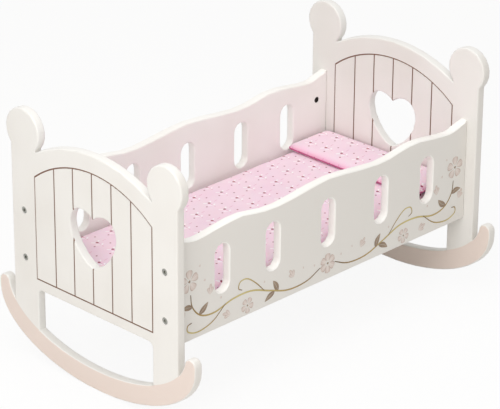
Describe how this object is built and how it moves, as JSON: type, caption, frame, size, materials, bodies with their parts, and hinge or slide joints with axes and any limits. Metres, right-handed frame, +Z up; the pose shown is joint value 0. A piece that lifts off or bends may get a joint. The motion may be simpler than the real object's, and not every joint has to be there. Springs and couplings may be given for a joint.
{
  "type": "doll cradle",
  "caption": "Rocking cradle for a doll: arched end boards with ball finials, heart cut-outs and rockers, wavy slotted side panels, mattress and pillow.",
  "frame": {"origin": "on the floor under the middle of the cradle, the bottom centre of its bounding box", "axes": "+X from the foot to the head, +Y from the near side panel to the far one, +Z up"},
  "size_m": [0.544, 0.345, 0.3332],
  "materials": {
    "painted_board": "satin off-white paint on fibreboard",
    "floor_board": "satin off-white paint on hardboard",
    "steel": "zinc plated",
    "bedding": "printed cotton"
  },
  "bodies": {
    "frame": {"footboard": "painted_board", "headboard": "painted_board", "near_side_panel": "painted_board", "far_side_panel": "painted_board", "floor_board": "floor_board", "bolt_foot_near_upper": "steel", "bolt_foot_near_lower": "steel", "bolt_foot_far_upper": "steel", "bolt_foot_far_lower": "steel", "bolt_head_near_upper": "steel", "bolt_head_near_lower": "steel", "bolt_head_far_upper": "steel", "bolt_head_far_lower": "steel", "barrel_nut_foot_near_upper": "steel", "barrel_nut_foot_near_lower": "steel", "barrel_nut_foot_far_upper": "steel", "barrel_nut_foot_far_lower": "steel", "barrel_nut_head_near_upper": "steel", "barrel_nut_head_near_lower": "steel", "barrel_nut_head_far_upper": "steel", "barrel_nut_head_far_lower": "steel"},
    "mattress": {"mattress": "bedding"},
    "pillow": {"pillow": "bedding"}
  },
  "joints": [
    {"name": "mattress_lift", "type": "slide", "parent": "frame", "child": "mattress", "axis": [0, 0, 1], "range_m": [0, 0.24]},
    {"name": "pillow_lift", "type": "slide", "parent": "mattress", "child": "pillow", "axis": [0, 0, 1], "range_m": [0, 0.2]}
  ]
}
